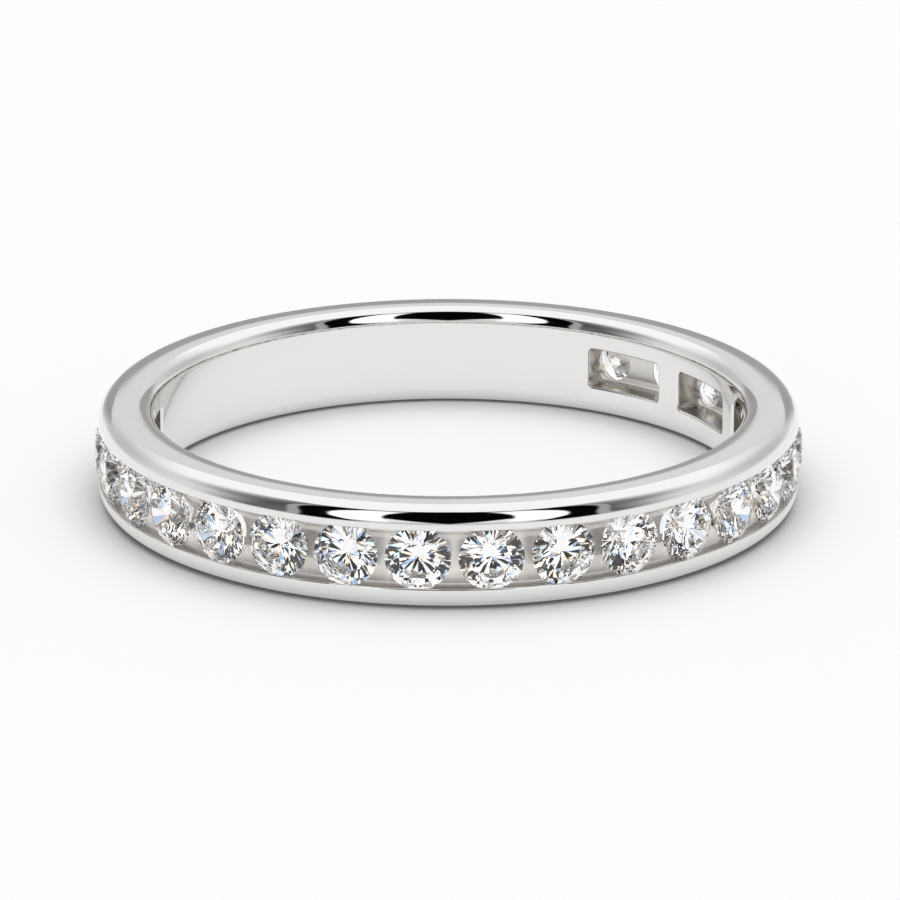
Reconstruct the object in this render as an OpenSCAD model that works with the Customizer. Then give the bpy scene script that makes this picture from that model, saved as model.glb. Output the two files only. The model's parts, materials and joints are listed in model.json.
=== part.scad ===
// Channel set band: a white metal ring lying on its side, with round brilliants
// held between two rails and rectangular windows through the finger side.
// +Z is the finger axis. The origin lies on that axis, in the face the ring rests on.
// The middle of the channel faces -Y. Angles run from there, positive towards +X.

/* [Band] */
// Inside diameter, where the finger goes
finger_d = 17.3; // [15:0.1:22]
// Thickness of the band, from the finger side to the outside
wall_t = 1.64; // [1.5:0.01:2.2]
// Width of the band along the finger
band_w = 2.97; // [2.7:0.01:4]
// Radius of the rounded outer edges
outer_edge_r = 0.55; // [0.2:0.01:0.56]
// Radius of the rounded inner edges
inner_edge_r = 0.45; // [0.2:0.01:0.7]

/* [Stones] */
// Number of stones in the channel, an even number
stone_count = 22; // [4:2:26]
// Diameter of a stone at its girdle
stone_d = 1.87; // [1.6:0.01:2.1]
// Width of a stone's table, from corner to corner
table_d = 1.07; // [0.9:0.01:1.2]
// Height of the crown, from girdle to table
crown_h = 0.25; // [0.2:0.01:0.3]
// Height of the girdle at its corners
girdle_h = 0.06; // [0.05:0.01:0.1]
// Depth of the pavilion, from girdle to culet
pavilion_h = 0.79; // [0.65:0.01:0.85]
// Height of the tables above the outside of the rails
table_rise = 0.08; // [0:0.01:0.15]
// Space between the girdles of neighbouring stones
stone_gap = 0.185; // [0.1:0.005:0.4]
// Turn of each stone about its own axis, against the stone before it
stone_turn = 18; // [0:1:45]

/* [Setting] */
// How far each rail reaches over the girdles
rail_cover = 0.075; // [0.05:0.005:0.12]
// Clearance between a girdle and the groove around it
groove_gap = 0.04; // [0.035:0.005:0.05]
// Clearance between a pavilion and its seat
seat_gap = 0.025; // [0.02:0.005:0.03]
// Width between the ledges below the girdles
ledge_w = 1.5; // [1.3:0.01:1.7]
// Depth of the channel's bed below the girdles
bed_drop = 0.45; // [0.3:0.01:0.6]
// Width of the channel's flat bed
bed_w = 0.83; // [0.6:0.01:1.1]
// Diameter of the hole under each stone, where it opens into a window
seat_hole_d = 1.1; // [0.9:0.01:1.2]
// Angle between the wall of that hole and its axis
seat_hole_a = 28; // [0:1:35]

/* [Windows] */
// Number of stones over each window
stones_per_window = 2; // [1:1:2]
// Width of a bar between two windows, on the finger side
window_bar_w = 0.9; // [0.6:0.05:1.4]
// Height of a window along the finger
window_h = 1.18; // [0.8:0.01:1.4]
// Radius of a window's corners
window_corner_r = 0.15; // [0.05:0.01:0.3]
// Thickness of the bed between the channel and a window
bed_t = 0.11; // [0.1:0.01:0.3]

/* [Hidden] */
$fn = 96;
// Overrun of a cutter past the face that it opens
past = 0.5;
// How far the circle of a window's corner reaches past the window's sides
corner_bite = 0.01;

finger_r = finger_d / 2;
outer_r = finger_r + wall_t;
mid_z = band_w / 2;

// Levels along a stone's axis, as distances from the finger axis
table_r = outer_r + table_rise;
girdle_top_r = table_r - crown_h;
girdle_low_r = girdle_top_r - girdle_h;
culet_r = girdle_low_r - pavilion_h;
bed_r = girdle_low_r - bed_drop;
window_top_r = bed_r - bed_t;

// A stone's facets: its side vertices lie half a step between the main ones
stone_r = stone_d / 2;
step_a = 360 / 16;
girdle_n = 32;
star_share = 0.5;
half_share = 0.87;
table_corner_r = table_d / 2;
crown_slope = crown_h / (stone_r - table_corner_r);
star_r = table_corner_r * cos(step_a) * (1 - star_share) + stone_r * star_share;
star_drop = (star_r * cos(step_a) - table_corner_r) * crown_slope;
crown_half_slope = (crown_h - star_drop) / (stone_r - star_r);
pavilion_slope = pavilion_h / stone_r;
side_r = stone_r * (1 - half_share) / cos(step_a);
side_rise = pavilion_h * (1 - half_share);

// Spacing round the ring
pitch_a = 2 * asin((stone_d + stone_gap) / 2 / girdle_low_r);
channel_a = stone_count * pitch_a;
window_count = stone_count / stones_per_window;
window_pitch_a = stones_per_window * pitch_a;
window_a = window_pitch_a - 2 * asin(window_bar_w / 2 / finger_r);

// Half widths in the channel
rail_z = stone_r - rail_cover;
groove_z = stone_r + groove_gap;
groove_top_r = girdle_top_r + groove_gap;
ledge_r = girdle_low_r - groove_gap;
lip_r = groove_top_r + rail_cover * crown_half_slope;

STONES = [for (i = [0:stone_count - 1]) str("stone_", i < 9 ? "0" : "", i + 1)];

// Puts a piece at an angle round the ring, with its own +Z pointing outwards
module round_the_ring(angle) {
  translate([0, 0, mid_z])
    rotate([0, 0, angle])
      rotate([90, 0, 0])
        children();
}

// The corner of a square left outside a quarter circle, its tip at the origin
module corner(r) {
  difference() {
    square(r);
    translate([r, r]) circle(r);
  }
}

// Section of the plain band: a rectangle with four rounded corners
module band_section() {
  difference() {
    translate([finger_r, 0]) square([wall_t, band_w]);
    for (side = [0, 1]) translate([0, side * band_w]) mirror([0, side]) {
      translate([finger_r, 0]) corner(inner_edge_r);
      translate([outer_r, 0]) mirror([1, 0]) corner(outer_edge_r);
    }
  }
}

// Section of the channel: rails over a groove for the girdles, a ledge below them,
// then a sloping wall down to the flat bed
module channel_section() {
  half = [
    [outer_r + past, rail_z],
    [lip_r, rail_z],
    [groove_top_r, groove_z],
    [ledge_r, groove_z],
    [ledge_r, ledge_w / 2],
    [bed_r, bed_w / 2]
  ];
  translate([0, mid_z])
    polygon(concat(half, [for (i = [len(half) - 1:-1:0]) [half[i][0], -half[i][1]]]));
}

// Room for one stone's pavilion: a cone with the clearance added, down to where the
// steeper wall of the hole below takes over
module seat() {
  gap_r = stone_r + seat_gap;
  flare = tan(seat_hole_a);
  hole_r = seat_hole_d / 2;
  end_r = culet_r - seat_gap;
  meet_r = (hole_r - window_top_r * flare - gap_r + girdle_low_r / pavilion_slope)
    / (1 / pavilion_slope - flare);
  rotate_extrude() polygon([
    [0, girdle_low_r],
    [gap_r, girdle_low_r],
    [hole_r + (meet_r - window_top_r) * flare, meet_r],
    [hole_r + (end_r - window_top_r) * flare, end_r],
    [0, end_r]
  ]);
}

// Metal left in a window's corner, seen along the window: it overlaps the metal around
// the window, and its arc crosses the window's two sides at a small angle
module window_corner() {
  centre = window_corner_r - corner_bite;
  difference() {
    translate([1, 1] * (centre - 2 * window_corner_r)) square(2 * window_corner_r);
    translate([1, 1] * centre) circle(window_corner_r);
  }
}

// A window from the finger side up to the underside of the bed, between two planes
// through the finger axis, with its four corners rounded
module window() {
  difference() {
    rotate([0, 0, -90 - window_a / 2])
      rotate_extrude(angle = window_a, $fn = 200)
        translate([finger_r - past, mid_z - window_h / 2])
          square([window_top_r - finger_r + past, window_h]);
    for (side = [0, 1], end = [0, 1])
      mirror([side, 0, 0])
        round_the_ring(window_a / 2)
          mirror([0, end, 0])
            translate([0, -window_h / 2, finger_r - past])
              linear_extrude(wall_t + past)
                mirror([1, 0]) window_corner();
  }
}

module band() {
  color("gainsboro") difference() {
    rotate([0, 0, -90]) rotate_extrude($fn = 200) band_section();
    rotate([0, 0, -90 - channel_a / 2])
      rotate_extrude(angle = channel_a, $fn = 200) channel_section();
    for (i = [0:stone_count - 1]) round_the_ring(stone_angle(i)) seat();
    for (i = [0:window_count - 1]) rotate([0, 0, window_angle(i)]) window();
  }
}

function stone_angle(i) = (i - (stone_count - 1) / 2) * pitch_a;
function window_angle(i) = (i - (window_count - 1) / 2) * window_pitch_a;

// A point by its radius, its angle and its height
function at(r, angle, z) = [r * cos(angle), r * sin(angle), z];

// Drop of a half facet at the girdle, midway between the corners it runs through:
// the facet is flat and the girdle bulges out past the straight line between them
function bulge_drop(slope) =
  let (bulge = stone_r * (1 - cos(step_a / 2))) bulge * slope;

// A round brilliant with its table up: a table, eight stars, eight kites and sixteen
// halves above the girdle, sixteen halves and eight mains below it
module brilliant() {
  top_z = table_r;
  high_z = girdle_top_r;
  low_z = girdle_low_r;
  main_a = 2 * step_a;
  side_steps = girdle_n / 8;
  table = [for (i = [0:7]) at(table_corner_r, i * main_a, top_z)];
  star = [for (i = [0:7]) at(star_r, (i + 0.5) * main_a, top_z - star_drop)];
  high = [for (i = [0:girdle_n - 1])
    at(stone_r, i * 360 / girdle_n, high_z - (i % 2) * bulge_drop(crown_half_slope))];
  low = [for (i = [0:girdle_n - 1])
    at(stone_r, i * 360 / girdle_n, low_z + (i % 2) * bulge_drop(pavilion_slope))];
  side = [for (i = [0:7]) at(side_r, (i + 0.5) * main_a, culet_r + side_rise)];
  culet = [[0, 0, culet_r]];
  star_0 = 8;
  high_0 = star_0 + 8;
  low_0 = high_0 + girdle_n;
  side_0 = low_0 + girdle_n;
  culet_0 = side_0 + 8;
  faces = concat(
    [[for (i = [7:-1:0]) i]],
    [for (i = [0:7]) [i, (i + 1) % 8, star_0 + i]],
    [for (i = [0:7]) [i, star_0 + i, high_0 + i * side_steps, star_0 + (i + 7) % 8]],
    [for (i = [0:7], k = [0:1]) let (g = i * side_steps + 2 * k)
      [star_0 + i, high_0 + (g + 2) % girdle_n, high_0 + g + 1, high_0 + g]],
    [for (g = [0:girdle_n - 1]) let (n = (g + 1) % girdle_n)
      [high_0 + g, high_0 + n, low_0 + n, low_0 + g]],
    [for (i = [0:7], k = [0:1]) let (g = i * side_steps + 2 * k)
      [side_0 + i, low_0 + g, low_0 + g + 1, low_0 + (g + 2) % girdle_n]],
    [for (i = [0:7]) [side_0 + i, culet_0, side_0 + (i + 7) % 8, low_0 + i * side_steps]]
  );
  polyhedron(concat(table, star, high, low, side, culet), faces);
}

// Both halves of the ring mirror each other, turns included
module stone(i) {
  turn_a = step_a + (i - (stone_count - 1) / 2) * stone_turn;
  color("aliceblue") round_the_ring(stone_angle(i)) rotate([0, 0, turn_a]) brilliant();
}

band();
for (i = [0:stone_count - 1]) stone(i);
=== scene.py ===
"""Looks of a channel set band: polished white metal, round brilliants and a soft white studio.

The pieces are modelled in millimetres round the finger axis and shrunk to metres at the end.
Angles round the ring start at -Y, the middle of the channel, and grow towards +X.
"""

import json
import math

import bpy
from mathutils import Matrix, Vector


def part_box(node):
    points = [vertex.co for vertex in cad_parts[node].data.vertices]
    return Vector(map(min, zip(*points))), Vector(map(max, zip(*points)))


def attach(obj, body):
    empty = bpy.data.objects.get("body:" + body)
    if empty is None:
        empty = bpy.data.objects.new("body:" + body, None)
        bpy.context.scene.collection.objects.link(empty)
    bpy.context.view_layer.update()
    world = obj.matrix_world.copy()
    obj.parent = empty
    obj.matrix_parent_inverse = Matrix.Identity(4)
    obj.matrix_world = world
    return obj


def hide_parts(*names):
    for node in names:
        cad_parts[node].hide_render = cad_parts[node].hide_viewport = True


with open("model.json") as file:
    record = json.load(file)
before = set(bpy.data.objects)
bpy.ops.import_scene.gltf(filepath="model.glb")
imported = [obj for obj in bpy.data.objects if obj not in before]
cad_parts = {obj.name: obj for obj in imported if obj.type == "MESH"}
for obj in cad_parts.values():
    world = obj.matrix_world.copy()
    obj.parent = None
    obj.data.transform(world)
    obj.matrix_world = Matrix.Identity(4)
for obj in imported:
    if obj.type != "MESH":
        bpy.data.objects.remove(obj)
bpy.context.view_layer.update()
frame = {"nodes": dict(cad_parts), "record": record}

MM = 0.001

# The frame's own sizes, in millimetres
band_low, band_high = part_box("band")
band_w = (band_high.z - band_low.z) / MM
outer_r = (band_high.x - band_low.x) / 2 / MM
mounts = {mount["name"]: mount for mount in frame["record"]["mounts"]}
finger_r = mounts["finger_bore"]["dims"]["r_mm"]
mid_z = band_w / 2
ring_middle = Vector((0, 0, mid_z))
stone_names = sorted(name for name in frame["nodes"] if name.startswith("stone_"))

# Rounded edges of the band, and the softer ones of its rails and windows
OUTER_EDGE_R = 0.55
INNER_EDGE_R = 0.45
LIP_R = 0.04
MOUTH_R = 0.09

# The channel and its seats
RAIL_COVER = 0.075
GROOVE_GAP = 0.04
SEAT_GAP = 0.025
LEDGE_W = 1.5
BED_DROP = 0.45
BED_W = 0.83
SEAT_HOLE_D = 1.1
SEAT_HOLE_ANGLE = math.radians(28)

# The windows
STONES_PER_WINDOW = 2
WINDOW_BAR_W = 0.9
WINDOW_H = 1.18
WINDOW_CORNER_R = 0.15
BED_T = 0.11

# How finely round shapes are cut, and the angle from which an edge stays crisp
RING_STEPS = 720
EDGE_STEPS = 12
CONE_STEPS = 96
FINE_STEPS = 5
CRISP_ANGLE = math.radians(25)
# Overrun of a cutter, and how far a rounding is shifted so that it crosses a face cleanly
PAST = 0.4
SHIFT = 0.003
# How near a corner lies to where it is looked for, how near two corners are merged, and the
# decimals, in metres, to which two corners of a stone are the same
NEAR = 0.001
MERGED = 1e-5
CORNER_DECIMALS = 7


# Stones


def stone_corners(name):
    """A stone's corners, each once, in millimetres."""
    vertices = frame["nodes"][name].data.vertices
    return [Vector(co) / MM for co in {vertex.co.to_tuple(CORNER_DECIMALS) for vertex in vertices}]


def stone_axis(name):
    """The direction from the finger axis through a stone, from its own corners."""
    corners = stone_corners(name)
    middle = sum(corners, Vector()) / len(corners)
    return Vector((middle.x, middle.y, 0)).normalized()


def stone_profile(name):
    """Each corner's height over the finger axis, and its distance from the stone's own axis."""
    axis = stone_axis(name)
    profile = []
    for corner in stone_corners(name):
        from_middle = corner - ring_middle
        height = from_middle.dot(axis)
        profile.append((height, (from_middle - axis * height).length))
    return profile


def stone_levels(profile):
    """A stone's radius, and where the top and foot of its girdle and its culet lie."""
    widest = max(radius for _, radius in profile)
    girdle = [height for height, radius in profile if radius > widest - NEAR]
    return widest, max(girdle), min(girdle), min(height for height, _ in profile)


def crown_half_slope(profile):
    """Slope of the crown facets that the rails reach over: from the girdle up to the stars."""
    # The crown's corners lie at three heights: girdle, stars and table
    crown = {}
    for height, radius in profile:
        if height > girdle_top_r - NEAR:
            crown[round(height, 3)] = radius
    star_height = sorted(crown)[-2]
    return (star_height - girdle_top_r) / (stone_r - crown[star_height])


def angle_round_ring(direction):
    return math.atan2(direction.x, -direction.y)


stone_angles = sorted(angle_round_ring(stone_axis(name)) for name in stone_names)
pitch = (stone_angles[-1] - stone_angles[0]) / (len(stone_angles) - 1)
first_stone = stone_profile(stone_names[0])
stone_r, girdle_top_r, girdle_low_r, culet_r = stone_levels(first_stone)
groove_z = stone_r + GROOVE_GAP
bed_r = girdle_low_r - BED_DROP
window_top_r = bed_r - BED_T


# Modelling by hand


def open_mesh(piece):
    """Opens one piece in edit mode with its whole mesh selected."""
    bpy.ops.object.select_all(action="DESELECT")
    piece.select_set(True)
    bpy.context.view_layer.objects.active = piece
    bpy.ops.object.mode_set(mode="EDIT")
    bpy.ops.mesh.select_mode(type="VERT")
    bpy.ops.mesh.select_all(action="SELECT")


def close_mesh():
    bpy.ops.object.mode_set(mode="OBJECT")


def pick(piece, here):
    """Selects the corners whose place passes the test, in edit mode."""
    bpy.ops.mesh.select_all(action="DESELECT")
    bpy.ops.object.mode_set(mode="OBJECT")
    for vertex in piece.data.vertices:
        vertex.select = here(vertex.co)
    bpy.ops.object.mode_set(mode="EDIT")


def start_plane(name, centre, size_x, size_z):
    """A rectangle that stands in the XZ plane."""
    bpy.ops.object.select_all(action="DESELECT")
    bpy.ops.mesh.primitive_plane_add(size=1, location=centre, rotation=(math.pi / 2, 0, 0))
    piece = bpy.context.object
    piece.name = name
    piece.scale = (size_x, size_z, 1)
    bpy.ops.object.transform_apply(location=True, rotation=True, scale=True)
    return piece


def start_outline(name, points):
    """A flat face in the XZ plane, drawn corner by corner from a single vertex."""
    first_x, first_z = points[0]
    piece = start_plane(name, (first_x, 0, first_z), 1, 1)
    open_mesh(piece)
    bpy.ops.mesh.merge(type="CENTER")
    for (x0, z0), (x1, z1) in zip(points, points[1:]):
        step = {"value": (x1 - x0, 0, z1 - z0)}
        bpy.ops.mesh.extrude_vertices_move(TRANSFORM_OT_translate=step)
    bpy.ops.mesh.select_all(action="SELECT")
    bpy.ops.mesh.edge_face_add()
    close_mesh()
    return piece


def round_corners(piece, here, radius, steps):
    """Rounds the chosen corners of a flat face, in edit mode."""
    pick(piece, here)
    bpy.ops.mesh.bevel(offset=radius, segments=steps, profile=0.5, affect="VERTICES")


def spin_round_axis(steps, angle):
    bpy.ops.mesh.select_all(action="SELECT")
    bpy.ops.mesh.spin(steps=steps, angle=angle, center=(0, 0, 0), axis=(0, 0, 1))


def clean_mesh():
    """Merges doubles and points all faces outwards, in edit mode."""
    bpy.ops.mesh.select_all(action="SELECT")
    bpy.ops.mesh.remove_doubles(threshold=MERGED)
    bpy.ops.mesh.normals_make_consistent(inside=False)


def turn(piece, angle, axis="Z"):
    """Turns a piece about an axis through the origin, into its mesh."""
    piece.data.transform(Matrix.Rotation(angle, 4, axis))


def shift(piece, way):
    """Moves a piece, into its mesh."""
    piece.data.transform(Matrix.Translation(way))


def copies_round_ring(piece, angles):
    """Copies a cutter to each of the angles and joins the copies."""
    copies = []
    for angle in angles:
        copy = piece.copy()
        copy.data = piece.data.copy()
        bpy.context.collection.objects.link(copy)
        turn(copy, angle)
        copies.append(copy)
    bpy.data.objects.remove(piece)
    bpy.ops.object.select_all(action="DESELECT")
    for copy in copies:
        copy.select_set(True)
    bpy.context.view_layer.objects.active = copies[0]
    bpy.ops.object.join()
    return copies[0]


def apply_modifier(piece, kind, **settings):
    """Adds a modifier to a piece and applies it. The piece is then the only one selected."""
    bpy.ops.object.select_all(action="DESELECT")
    piece.select_set(True)
    bpy.context.view_layer.objects.active = piece
    modifier = piece.modifiers.new("shaping", kind)
    for name, value in settings.items():
        setattr(modifier, name, value)
    bpy.ops.object.modifier_apply(modifier=modifier.name)


def carve(piece, cutter):
    """Cuts one piece out of another, and clears the cutter away."""
    apply_modifier(piece, "BOOLEAN", operation="DIFFERENCE", solver="MANIFOLD", object=cutter)
    bpy.data.objects.remove(cutter)


# The band


def plain_band():
    """A ring of rectangular section with its four edges rounded."""
    wall_t = outer_r - finger_r
    middle_r = finger_r + wall_t / 2
    piece = start_plane("polished_band", (middle_r, 0, mid_z), wall_t, band_w)
    open_mesh(piece)
    round_corners(piece, lambda co: co.x > middle_r, OUTER_EDGE_R, EDGE_STEPS)
    round_corners(piece, lambda co: co.x < finger_r + NEAR, INNER_EDGE_R, EDGE_STEPS)
    bpy.ops.mesh.select_all(action="SELECT")
    bpy.ops.mesh.delete(type="ONLY_FACE")
    spin_round_axis(RING_STEPS, 2 * math.pi)
    clean_mesh()
    close_mesh()
    return piece


def channel_cutter():
    """The channel from end to end: rails with a soft lip, groove, ledge and bed."""
    rail_z = stone_r - RAIL_COVER
    top_r = outer_r + SHIFT
    groove_top_r = girdle_top_r + GROOVE_GAP
    ledge_r = girdle_low_r - GROOVE_GAP
    lip_r = groove_top_r + RAIL_COVER * crown_half_slope(first_stone)
    half = [
        (outer_r + PAST, rail_z + 2 * LIP_R),
        (top_r, rail_z + 2 * LIP_R),
        (top_r, rail_z),
        (lip_r, rail_z),
        (groove_top_r, groove_z),
        (ledge_r, groove_z),
        (ledge_r, LEDGE_W / 2),
        (bed_r, BED_W / 2),
    ]
    outline = half + [(r, -z) for r, z in reversed(half)]
    piece = start_outline("channel", [(r, mid_z + z) for r, z in outline])

    def at_lip(co):
        return abs(co.x - top_r) < NEAR and abs(abs(co.z - mid_z) - rail_z) < NEAR

    open_mesh(piece)
    round_corners(piece, at_lip, LIP_R, FINE_STEPS)
    channel_angle = pitch * len(stone_angles)
    spin_round_axis(round(RING_STEPS * channel_angle / (2 * math.pi)), channel_angle)
    clean_mesh()
    close_mesh()
    turn(piece, -math.pi / 2 + channel_angle / 2)
    return piece


def seat_cutters():
    """A seat under each stone: its pavilion with a clearance, then the wall of the hole below."""
    pavilion_slope = (girdle_low_r - culet_r) / stone_r
    gap_r = stone_r + SEAT_GAP
    flare = math.tan(SEAT_HOLE_ANGLE)
    hole_r = SEAT_HOLE_D / 2
    end_r = culet_r - SEAT_GAP
    meet_r = (hole_r - window_top_r * flare - gap_r + girdle_low_r / pavilion_slope) / (
        1 / pavilion_slope - flare
    )
    piece = start_outline(
        "seats",
        [
            (0, girdle_low_r),
            (gap_r, girdle_low_r),
            (hole_r + (meet_r - window_top_r) * flare, meet_r),
            (hole_r + (end_r - window_top_r) * flare, end_r),
            (0, end_r),
        ],
    )
    open_mesh(piece)
    bpy.ops.mesh.delete(type="ONLY_FACE")
    spin_round_axis(CONE_STEPS, 2 * math.pi)
    clean_mesh()
    close_mesh()
    turn(piece, math.pi / 2, axis="X")
    shift(piece, ring_middle)
    return copies_round_ring(piece, stone_angles)


def window_cutters():
    """Windows between planes through the finger axis, with rounded corners and a soft mouth.

    The first starts flat, unrolled from the finger side, and is bent round the finger axis.
    """
    bar_angle = 2 * math.asin(WINDOW_BAR_W / 2 / finger_r)
    window_pitch = STONES_PER_WINDOW * pitch
    window_angle = window_pitch - bar_angle
    length = window_angle * finger_r
    mouth_length = length + 2 * MOUTH_R
    piece = start_plane("windows", (0, PAST, mid_z), mouth_length, WINDOW_H + 2 * MOUTH_R)
    open_mesh(piece)
    round_corners(piece, lambda co: True, WINDOW_CORNER_R + MOUTH_R, EDGE_STEPS)
    bpy.ops.mesh.select_all(action="SELECT")
    down = {"value": (0, -PAST + SHIFT, 0)}
    bpy.ops.mesh.extrude_region_move(TRANSFORM_OT_translate=down)
    for step in range(FINE_STEPS):
        start, end = [(step + k) / FINE_STEPS * math.pi / 2 for k in (0, 1)]
        narrower = MOUTH_R * (math.sin(end) - math.sin(start))
        deeper = MOUTH_R * (math.cos(start) - math.cos(end))
        bpy.ops.mesh.inset(thickness=narrower, depth=0)
        bpy.ops.transform.translate(value=(0, -deeper, 0))
    bottom = {"value": (0, -(window_top_r - finger_r - MOUTH_R + SHIFT), 0)}
    bpy.ops.mesh.extrude_region_move(TRANSFORM_OT_translate=bottom)
    slices = round(RING_STEPS * window_angle / (2 * math.pi))
    for i in range(1, slices):
        bpy.ops.mesh.select_all(action="SELECT")
        cut_x = length * (i / slices - 0.5)
        bpy.ops.mesh.bisect(plane_co=(cut_x, 0, 0), plane_no=(1, 0, 0))
    clean_mesh()
    close_mesh()
    bend = mouth_length / finger_r
    apply_modifier(piece, "SIMPLE_DEFORM", deform_method="BEND", deform_axis="Z", angle=bend)
    shift(piece, (0, -finger_r, 0))
    count = len(stone_angles) // STONES_PER_WINDOW
    return copies_round_ring(piece, [(i - (count - 1) / 2) * window_pitch for i in range(count)])


def polished_band():
    piece = plain_band()
    carve(piece, channel_cutter())
    carve(piece, seat_cutters())
    carve(piece, window_cutters())
    piece.data.transform(Matrix.Scale(MM, 4))
    bpy.ops.object.shade_smooth_by_angle(angle=CRISP_ANGLE)
    apply_modifier(piece, "WEIGHTED_NORMAL", keep_sharp=True)
    return piece


# Nodes


def set_inputs(tree, node, inputs):
    """Links or sets a node's inputs, each by its name or number."""
    for key, value in inputs.items():
        if isinstance(value, bpy.types.NodeSocket):
            tree.links.new(value, node.inputs[key])
        else:
            node.inputs[key].default_value = value


def add_node(tree, kind, inputs=None, **settings):
    """Adds a node, sets its options, then its inputs."""
    made = tree.nodes.new(kind)
    for name, value in settings.items():
        setattr(made, name, value)
    set_inputs(tree, made, inputs or {})
    return made


def math_node(tree, operation, *values):
    made = add_node(tree, "ShaderNodeMath", dict(enumerate(values)), operation=operation)
    return made.outputs[0]


def overlap(tree, mask, *others):
    """Where all the masks hold."""
    for other in others:
        mask = math_node(tree, "MULTIPLY", mask, other)
    return mask


def mix_value(tree, factor, first, second):
    made = add_node(tree, "ShaderNodeMix", {0: factor, 2: first, 3: second}, data_type="FLOAT")
    return made.outputs[0]


def mix_colour(tree, factor, first, second):
    made = add_node(tree, "ShaderNodeMix", {0: factor, 6: first, 7: second}, data_type="RGBA")
    return made.outputs[2]


def smooth_range(tree, value, low, high, kind="SMOOTHSTEP"):
    """A mask that rises from 0 at one value to 1 at the other."""
    made = add_node(
        tree,
        "ShaderNodeMapRange",
        {"Value": value, "From Min": low, "From Max": high},
        interpolation_type=kind,
    )
    return made.outputs[0]


def colour_ramp(tree, factor, stops):
    """A colour that follows stops of (share, colour), straight between them."""
    made = add_node(tree, "ShaderNodeValToRGB", {"Fac": factor})
    ramp = made.color_ramp
    while len(ramp.elements) > 1:
        ramp.elements.remove(ramp.elements[0])
    for i, (share, colour) in enumerate(stops):
        stop = ramp.elements[0] if i == 0 else ramp.elements.new(share)
        stop.position = share
        stop.color = (*colour, 1)
    return made.outputs["Color"]


def start_group(name, inputs, outputs):
    """A node group with plain values in and out."""
    group = bpy.data.node_groups.new(name, "ShaderNodeTree")
    for way, sockets in (("INPUT", inputs), ("OUTPUT", outputs)):
        for socket in sockets:
            group.interface.new_socket(socket, in_out=way, socket_type="NodeSocketFloat")
    return group


def start_material(name):
    material = bpy.data.materials.new(name)
    material.use_nodes = True
    tree = material.node_tree
    return material, tree, tree.nodes["Principled BSDF"]


def give(piece, material):
    piece.data.materials.clear()
    piece.data.materials.append(material)


# Materials

# Polished metal: marks of polishing, from the darkest and glossiest to the palest and dullest
CLOUD_SIZE = 700
CLOUD_DETAIL = 3.0
HAIRLINE_SIZE = 4000
HAIRLINE_DETAIL = 6.0
HAIRLINE_STRETCH = (1, 1, 6)
POLISH_COLOURS = [(0, (0.79, 0.78, 0.765)), (1, (0.815, 0.805, 0.79))]
POLISH_ROUGHNESS = (0.02, 0.06)

# Satin metal where the polishing tools do not reach, and painted light: a faint glow on the
# slopes beside the channel's bed, which are lit from a side that this studio leaves dark
CHANNEL_COLOUR = (0.82, 0.80, 0.78, 1)
CHANNEL_ROUGHNESS = 0.34
SLOPE_PAINTED_LIGHT = (0.27, 0.262, 0.25, 1)
NO_PAINTED_LIGHT = (0, 0, 0, 1)
# Painted shade: the metal in the windows is darkened, as shade in these recesses
WINDOW_PAINTED_SHADE = (0.44, 0.415, 0.385, 1)
WINDOW_ROUGHNESS = 0.2

# Where each finish, the painted light on the slopes and the painted shade in the windows begin
# and end, in millimetres: beyond the groove, below the bed's underside, beside the bed's edge and
# above the bed. The last two are shares of the radius of the lip, inwards from the rails, and of
# the mouth, outwards from the finger side
GROOVE_FADE = 0.05
UNDERSIDE_FADE = (0.05, 0.01)
BED_EDGE_FADE = 0.03
SLOPE_FOOT = 0.15
LIP_FADE = (0.5, 1.5)
MOUTH_FADE = (0.95, 1.15)

# Gem: patches of a faint tint, and less gloss than diamond has, so that dark facets stay dark
GEM_TINT_SIZE = 1500.0
GEM_TINTS = [(0, (0.97, 0.985, 1)), (1, (1, 0.99, 0.975))]
GEM_GLOSS = (0.15, 0.15, 0.16, 1)
DIAMOND_IOR = 2.417


def polish_group():
    """Marks of polishing: a faint cloudiness and hairlines, as masks."""
    group = start_group("polish_marks", ("Cloud Size", "Hairline Size"), ("Cloud", "Hairlines"))
    given = add_node(group, "NodeGroupInput").outputs
    place = add_node(group, "ShaderNodeTexCoord").outputs["Object"]
    cloud = add_node(
        group,
        "ShaderNodeTexNoise",
        {"Vector": place, "Scale": given["Cloud Size"], "Detail": CLOUD_DETAIL},
    )
    stretched = add_node(
        group, "ShaderNodeMapping", {"Vector": place, "Scale": HAIRLINE_STRETCH}
    ).outputs[0]
    hairs = add_node(
        group,
        "ShaderNodeTexNoise",
        {"Vector": stretched, "Scale": given["Hairline Size"], "Detail": HAIRLINE_DETAIL},
    )
    add_node(
        group,
        "NodeGroupOutput",
        {"Cloud": cloud.outputs["Fac"], "Hairlines": hairs.outputs["Fac"]},
    )
    return group


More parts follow.
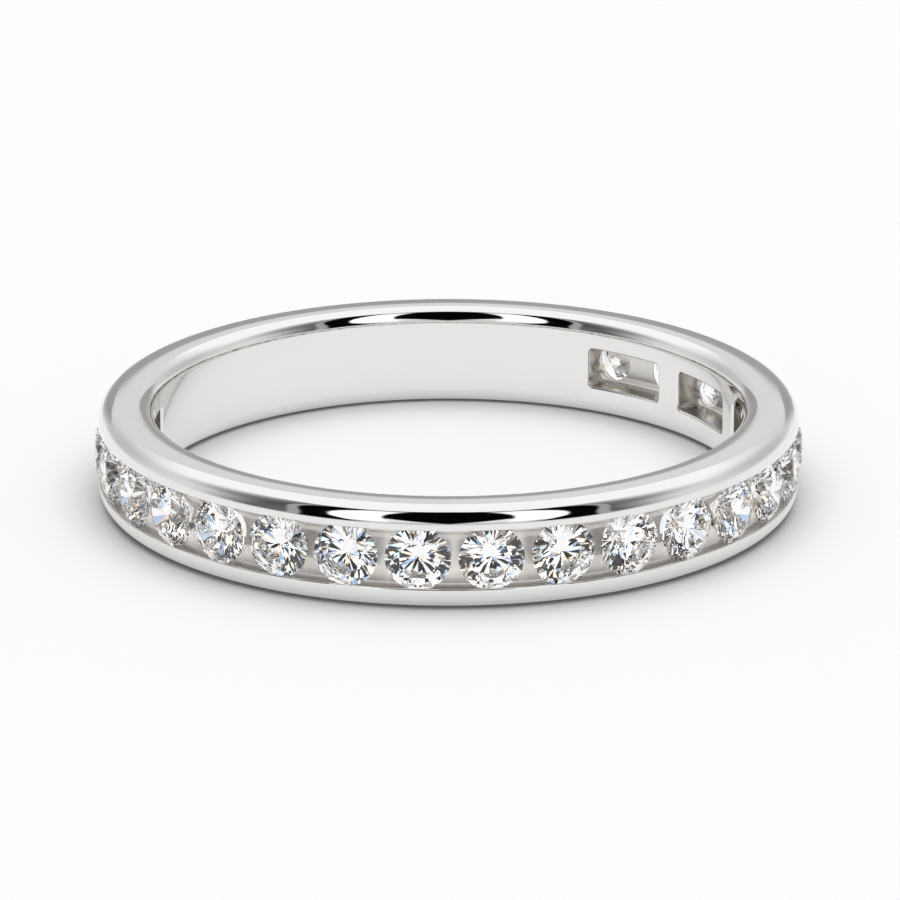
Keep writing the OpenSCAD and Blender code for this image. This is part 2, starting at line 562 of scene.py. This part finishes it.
def recess_group():
    """Masks of the metal inside the channel, on the slopes beside its bed and in the windows. The
    slopes carry painted light and the windows painted shade.
    """
    group = start_group("recesses", (), ("Channel", "Slope", "Window"))
    place = add_node(group, "ShaderNodeTexCoord").outputs["Object"]
    xyz = add_node(group, "ShaderNodeSeparateXYZ", {0: place}).outputs
    flat = add_node(group, "ShaderNodeCombineXYZ", {0: xyz["X"], 1: xyz["Y"]}).outputs[0]
    r = add_node(group, "ShaderNodeVectorMath", {0: flat}, operation="LENGTH").outputs["Value"]
    z = math_node(group, "ABSOLUTE", math_node(group, "SUBTRACT", xyz["Z"], mid_z * MM))

    def fade(value, start, end):
        return smooth_range(group, value, start * MM, end * MM)

    between_rails = fade(z, groove_z + GROOVE_FADE, groove_z)
    under_lip = fade(r, *(outer_r - share * LIP_R for share in LIP_FADE))
    above_windows = fade(r, *(window_top_r - drop for drop in UNDERSIDE_FADE))
    in_channel = overlap(group, under_lip, above_windows, between_rails)

    off_bed = fade(z, BED_W / 2 - BED_EDGE_FADE, BED_W / 2 + BED_EDGE_FADE)
    below_girdles = fade(r, girdle_low_r, bed_r + SLOPE_FOOT)
    on_slope = overlap(group, off_bed, below_girdles)

    past_mouth = fade(r, *(finger_r + share * MOUTH_R for share in MOUTH_FADE))
    under_bed = math_node(group, "SUBTRACT", 1.0, above_windows)
    add_node(
        group,
        "NodeGroupOutput",
        {
            "Channel": in_channel,
            "Slope": overlap(group, in_channel, on_slope),
            "Window": overlap(group, past_mouth, under_bed, between_rails),
        },
    )
    return group


def white_metal():
    material, tree, shader = start_material("white_metal")
    marks = add_node(
        tree,
        "ShaderNodeGroup",
        {"Cloud Size": CLOUD_SIZE, "Hairline Size": HAIRLINE_SIZE},
        node_tree=polish_group(),
    ).outputs
    recesses = add_node(tree, "ShaderNodeGroup", node_tree=recess_group()).outputs
    haze_low, haze_high = POLISH_ROUGHNESS
    haze = add_node(
        tree,
        "ShaderNodeMapRange",
        {"Value": marks["Hairlines"], "To Min": haze_low, "To Max": haze_high},
    )
    colour = colour_ramp(tree, marks["Cloud"], POLISH_COLOURS)
    colour = mix_colour(tree, recesses["Channel"], colour, CHANNEL_COLOUR)
    # Painted shade: darker colour in the windows, past the bright mouth
    colour = mix_colour(tree, recesses["Window"], colour, WINDOW_PAINTED_SHADE)
    rough = mix_value(tree, recesses["Channel"], haze.outputs[0], CHANNEL_ROUGHNESS)
    rough = mix_value(tree, recesses["Window"], rough, WINDOW_ROUGHNESS)
    set_inputs(
        tree,
        shader,
        {
            "Base Color": colour,
            "Roughness": rough,
            "Metallic": 1,
            # Painted light: a faint glow on the slopes beside the bed
            "Emission Color": mix_colour(tree, recesses["Slope"], NO_PAINTED_LIGHT, SLOPE_PAINTED_LIGHT),
            "Emission Strength": 1,
        },
    )
    # The painted light on the slopes is too faint to be sampled as a lamp
    material.cycles.emission_sampling = "NONE"
    return material


def brilliant():
    material, tree, shader = start_material("brilliant")
    place = add_node(tree, "ShaderNodeTexCoord").outputs["Object"]
    patches = add_node(tree, "ShaderNodeTexNoise", {"Vector": place, "Scale": GEM_TINT_SIZE})
    set_inputs(
        tree,
        shader,
        {
            "Base Color": colour_ramp(tree, patches.outputs["Fac"], GEM_TINTS),
            "Roughness": 0,
            "IOR": DIAMOND_IOR,
            "Specular Tint": GEM_GLOSS,
            "Transmission Weight": 1,
        },
    )
    return material


# Studio

# The camera, in millimetres from the middle of the ring, at its angle round the ring
CAMERA_ANGLE = math.radians(-24.47)
CAMERA_HEIGHT_ANGLE = math.radians(18.385)
CAMERA_DISTANCE = 191.65
CAMERA_AIM = (0.045, 0, -0.155)
CAMERA_NEAR = 1
LENS = 260.56

# The studio's front is where the camera stands. Its angles are in degrees: heights above the
# horizon, and sides from the middle of the front, alike to the left and the right. A pair
# named RISE, SIDES, FOOT or TOP says where a thing starts to show and where it shows fully,
# unless its comment says otherwise, and SOFT is half the width of a soft edge

# The tent: its brightness low and high, at stops of the angle from its dark middle, which is
# turned a little to the left
TENT_TURN = 5
TENT_LOW = [
    (0, 0.15),
    (62, 0.15),
    (70, 0.36),
    (78, 0.62),
    (86, 0.82),
    (96, 0.85),
    (112, 0.75),
    (126, 0.63),
    (142, 0.63),
    (157, 0.76),
    (180, 0.83),
]
TENT_HIGH = [(0, 0.10), (66, 0.10), (85, 0.26), (95, 0.50), (105, 0.82), (116, 1.12), (180, 1.22)]
TENT_RISE = (22, 46)
# In front of the ring, below the black cloth: its brightness low and high
FRONT_LIGHT = (0.58, 1.0)
FRONT_RISE = (9, 22)
FRONT_SIDES = (31, 23)
# The horizon all round
HORIZON = 1.0
HORIZON_RISE = (1, 11)
# Behind the ring, just above the floor, as the back of its top face shows it
BACK_DIM = 0.5
BACK_SIDES = (148, 162)
BACK_RISE = (17.75, 16.95)
# A pale strip along the edge of the cloth: its angle, the height from which it bows outwards
# and how fast, with the square of the climb, and its half width
STRIP = 0.42
STRIP_ANGLE = 51
STRIP_BOW = (12, 0.0105)
STRIP_HALF_W = 2.4
STRIP_SOFT = 1
STRIP_RISE = (6, 10)
# The black cloth: its foot in the middle, how much that rises per degree to the side, and its
# foot at the sides. It starts to show just under the foot
CLOTH = 0.002
CLOTH_FOOT = (11, 1.05, 7)
CLOTH_SIDES = (20, 32)
CLOTH_RISE = (-3, 2)
# Two softboxes that lean outwards: their edges at the horizon and the lean per degree of
# height, and how fast the outer edge comes in below a height
SOFTBOX = 1.35
SOFTBOX_INNER = (15.5, 0.22)
SOFTBOX_OUTER = (31.0, 0.34)
SOFTBOX_TAPER = (26, 0.32)
SOFTBOX_SOFT = 1
SOFTBOX_FOOT = (10, 18)
SOFTBOX_TOP = (80, 68)
# White ceiling above it all: its edge in the middle, and how fast that comes down to the
# sides, with the square of the angle
CEILING = 1.15
CEILING_EDGE = (84.5, 0.0019)
CEILING_SOFT = 1.5

# Light that falls on the floor: stronger from above, and from the right and the back
SKY_POWER = 6.0
SKY_SIDE = (0.2, 0.1)

# What the stones show: the same studio, its brightness multiplied and then raised so that
# the cloth is a paler grey, a dark card in front of them, and patches of cool and warm light
GEM_STUDIO = (1.2, 0.06)
GEM_CARD = 0.02
GEM_CARD_SIDES = (12, 9)
GEM_CARD_FOOT = (3, 5)
GEM_CARD_TOP = (25, 21)
GEM_PATCHES = 5.0
GEM_PATCH_DETAIL = 1.0
COOL = (0.50, 0.66, 0.92)
NEUTRAL = (1, 0.99, 0.98)
WARM = (0.96, 0.76, 0.56)
GEM_COLOURS = [
    (0.00, COOL),
    (0.40, COOL),
    (0.44, NEUTRAL),
    (0.53, NEUTRAL),
    (0.57, WARM),
    (0.64, WARM),
    (0.68, NEUTRAL),
]

# The floor: its size in metres, and its colour and glow, each as the camera sees it and as
# the metal mirrors it
FLOOR_SIZE = 3
FLOOR_COLOUR = (0.868, 0.45)
FLOOR_GLOW = (0.065, 0.53)
WHITE = (1, 1, 1, 1)

# How often light may bounce: in all, between polished faces, and through the stones
BOUNCES = 24
METAL_BOUNCES = 16
GEM_BOUNCES = 20


def angle_ramp(tree, angle, stops):
    """A value that follows stops of (angle in degrees, value), straight between them."""
    share = smooth_range(tree, angle, 0, 180, "LINEAR")
    return colour_ramp(tree, share, [(a / 180, (value, value, value)) for a, value in stops])


def sky_angles(tree, direction):
    """A direction's height above the horizon and side from the front, in degrees."""
    xyz = add_node(tree, "ShaderNodeSeparateXYZ", {0: direction}).outputs
    height = math_node(tree, "DEGREES", math_node(tree, "ARCSINE", xyz["Z"]))
    front_y = math_node(tree, "MULTIPLY", xyz["Y"], -1.0)
    side = math_node(tree, "DEGREES", math_node(tree, "ARCTAN2", xyz["X"], front_y))
    return height, side


def tent_light(tree, height, side):
    """Brightness of the tent, with what stands low in front of the ring and behind it."""
    away = math_node(tree, "ABSOLUTE", side)
    turned = math_node(tree, "ABSOLUTE", math_node(tree, "ADD", side, TENT_TURN))
    low = angle_ramp(tree, turned, TENT_LOW)
    high = angle_ramp(tree, turned, TENT_HIGH)
    bright = mix_value(tree, smooth_range(tree, height, *TENT_RISE), low, high)
    front = mix_value(tree, smooth_range(tree, height, *FRONT_RISE), *FRONT_LIGHT)
    bright = mix_value(tree, smooth_range(tree, away, *FRONT_SIDES), bright, front)
    bright = mix_value(tree, smooth_range(tree, height, *HORIZON_RISE), HORIZON, bright)
    behind = smooth_range(tree, away, *BACK_SIDES)
    behind = overlap(tree, behind, smooth_range(tree, height, *BACK_RISE))
    return math_node(tree, "MULTIPLY", bright, mix_value(tree, behind, 1.0, BACK_DIM))


def past_strip(tree, height, away):
    """How far to the side of the strip's middle a direction lies."""
    bow_foot, bow_rate = STRIP_BOW
    climb = math_node(tree, "MAXIMUM", math_node(tree, "SUBTRACT", height, bow_foot), 0.0)
    bow = math_node(tree, "MULTIPLY", math_node(tree, "POWER", climb, 2.0), bow_rate)
    return math_node(tree, "SUBTRACT", away, math_node(tree, "ADD", bow, STRIP_ANGLE))


def strip_mask(tree, height, past_middle):
    off_strip = math_node(tree, "ABSOLUTE", past_middle)
    across = smooth_range(tree, off_strip, STRIP_HALF_W + STRIP_SOFT, STRIP_HALF_W - STRIP_SOFT)
    return overlap(tree, across, smooth_range(tree, height, *STRIP_RISE))


def cloth_mask(tree, height, away, past_middle):
    """The cloth hangs between the strips of both sides, down to its foot."""
    middle_foot, foot_rise, side_foot = CLOTH_FOOT
    foot = math_node(tree, "MULTIPLY_ADD", away, foot_rise, middle_foot)
    foot = mix_value(tree, smooth_range(tree, away, *CLOTH_SIDES), foot, side_foot)
    over_foot = smooth_range(tree, math_node(tree, "SUBTRACT", height, foot), *CLOTH_RISE)
    edges = (STRIP_SOFT - STRIP_HALF_W, -STRIP_SOFT - STRIP_HALF_W)
    return overlap(tree, smooth_range(tree, past_middle, *edges), over_foot)


def softbox_mask(tree, height, away):
    inner_start, inner_lean = SOFTBOX_INNER
    outer_start, outer_lean = SOFTBOX_OUTER
    taper_top, taper_rate = SOFTBOX_TAPER
    inner = math_node(tree, "MULTIPLY_ADD", height, inner_lean, inner_start)
    outer = math_node(tree, "MULTIPLY_ADD", height, outer_lean, outer_start)
    below = math_node(tree, "MAXIMUM", math_node(tree, "SUBTRACT", taper_top, height), 0.0)
    outer = math_node(tree, "SUBTRACT", outer, math_node(tree, "MULTIPLY", below, taper_rate))
    past_inner = math_node(tree, "SUBTRACT", away, inner)
    past_outer = math_node(tree, "SUBTRACT", away, outer)
    return overlap(
        tree,
        smooth_range(tree, past_inner, -SOFTBOX_SOFT, SOFTBOX_SOFT),
        smooth_range(tree, past_outer, SOFTBOX_SOFT, -SOFTBOX_SOFT),
        smooth_range(tree, height, *SOFTBOX_FOOT),
        smooth_range(tree, height, *SOFTBOX_TOP),
    )


def ceiling_mask(tree, height, away):
    edge, fall = CEILING_EDGE
    sag = math_node(tree, "MULTIPLY", math_node(tree, "POWER", away, 2.0), fall)
    over_edge = math_node(tree, "SUBTRACT", math_node(tree, "ADD", height, sag), edge)
    return smooth_range(tree, over_edge, -CEILING_SOFT, CEILING_SOFT)


def studio_light(tree, height, side):
    """Brightness of the studio for the metal. Each thing hides those before it."""
    away = math_node(tree, "ABSOLUTE", side)
    past_middle = past_strip(tree, height, away)
    bright = tent_light(tree, height, side)
    bright = mix_value(tree, strip_mask(tree, height, past_middle), bright, STRIP)
    bright = mix_value(tree, cloth_mask(tree, height, away, past_middle), bright, CLOTH)
    bright = mix_value(tree, softbox_mask(tree, height, away), bright, SOFTBOX)
    return mix_value(tree, ceiling_mask(tree, height, away), bright, CEILING)


def floor_light(tree, direction):
    """Brightness of the studio for the floor, which gets the same in all whatever the power."""
    to_right, to_back = SKY_SIDE
    xyz = add_node(tree, "ShaderNodeSeparateXYZ", {0: direction}).outputs
    up = math_node(tree, "POWER", math_node(tree, "MAXIMUM", xyz["Z"], 0.0), SKY_POWER)
    bright = math_node(tree, "MULTIPLY", up, 1 + SKY_POWER / 2)
    side = math_node(tree, "MULTIPLY_ADD", xyz["X"], to_right, 1.0)
    side = math_node(tree, "MULTIPLY_ADD", xyz["Y"], to_back, side)
    return math_node(tree, "MULTIPLY", bright, side)


def gem_light(tree, height, side, bright):
    """Brightness of the studio for the stones, from its brightness for the metal."""
    card = overlap(
        tree,
        smooth_range(tree, math_node(tree, "ABSOLUTE", side), *GEM_CARD_SIDES),
        smooth_range(tree, height, *GEM_CARD_FOOT),
        smooth_range(tree, height, *GEM_CARD_TOP),
    )
    return mix_value(tree, card, math_node(tree, "MULTIPLY_ADD", bright, *GEM_STUDIO), GEM_CARD)


def gem_colour(tree, direction):
    """Tint of the studio for the stones."""
    patches = add_node(
        tree,
        "ShaderNodeTexNoise",
        {"Vector": direction, "Scale": GEM_PATCHES, "Detail": GEM_PATCH_DETAIL},
    )
    return colour_ramp(tree, patches.outputs["Fac"], GEM_COLOURS)


def studio_world():
    """White to the camera, with its own light for the floor, the stones and the metal."""
    world = bpy.data.worlds.new("studio")
    bpy.context.scene.world = world
    world.use_nodes = True
    tree = world.node_tree
    tree.nodes.clear()
    sky = add_node(tree, "ShaderNodeTexCoord").outputs["Generated"]
    direction = add_node(
        tree,
        "ShaderNodeMapping",
        {"Vector": sky, "Rotation": (0, 0, -CAMERA_ANGLE)},
        vector_type="VECTOR",
    ).outputs[0]
    ray = add_node(tree, "ShaderNodeLightPath").outputs
    through = ray["Is Transmission Ray"]
    height, side = sky_angles(tree, direction)
    bright = studio_light(tree, height, side)
    bright = mix_value(tree, through, bright, gem_light(tree, height, side, bright))
    bright = mix_value(tree, ray["Is Diffuse Ray"], bright, floor_light(tree, direction))
    strength = mix_value(tree, ray["Is Camera Ray"], bright, 1.0)
    colour = mix_colour(tree, through, WHITE, gem_colour(tree, direction))
    light = add_node(tree, "ShaderNodeBackground", {"Color": colour, "Strength": strength})
    add_node(tree, "ShaderNodeOutputWorld", {"Surface": light.outputs[0]})


def studio_floor():
    bpy.ops.object.select_all(action="DESELECT")
    bpy.ops.mesh.primitive_plane_add(size=FLOOR_SIZE)
    floor = bpy.context.object
    floor.name = "floor"
    material, tree, shader = start_material("floor")
    glossy = add_node(tree, "ShaderNodeLightPath").outputs["Is Glossy Ray"]
    direct, mirrored = [(grey, grey, grey, 1) for grey in FLOOR_COLOUR]
    set_inputs(
        tree,
        shader,
        {
            "Base Color": mix_colour(tree, glossy, direct, mirrored),
            "Emission Strength": mix_value(tree, glossy, *FLOOR_GLOW),
            "Emission Color": WHITE,
            "Roughness": 1,
            "Specular IOR Level": 0,
        },
    )
    give(floor, material)


def studio_camera():
    turned = Matrix.Rotation(CAMERA_ANGLE, 4, "Z")
    back = Vector((0, -math.cos(CAMERA_HEIGHT_ANGLE), math.sin(CAMERA_HEIGHT_ANGLE)))
    aim = turned @ Vector(CAMERA_AIM) + ring_middle
    place = turned @ (Vector(CAMERA_AIM) + back * CAMERA_DISTANCE) + ring_middle
    camera = bpy.data.objects.new("camera", bpy.data.cameras.new("camera"))
    bpy.context.collection.objects.link(camera)
    camera.data.lens = LENS
    camera.data.clip_start = CAMERA_NEAR * MM
    camera.location = place * MM
    camera.rotation_euler = (place - aim).to_track_quat("Z", "Y").to_euler()
    bpy.context.scene.camera = camera


def studio_view():
    """Plain tones, and light that passes many facets but throws no caustics."""
    scene = bpy.context.scene
    scene.view_settings.view_transform = "Standard"
    scene.cycles.max_bounces = BOUNCES
    scene.cycles.glossy_bounces = METAL_BOUNCES
    scene.cycles.transmission_bounces = GEM_BOUNCES
    scene.cycles.caustics_reflective = False
    scene.cycles.caustics_refractive = False


# Assembly

bpy.ops.object.select_all(action="DESELECT")
studio_camera()
studio_view()
studio_world()
studio_floor()

metal = white_metal()
band = polished_band()
give(band, metal)
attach(band, "root")
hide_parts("band")
give(frame["nodes"]["band"], metal)

gem = brilliant()
for name in stone_names:
    give(frame["nodes"][name], gem)
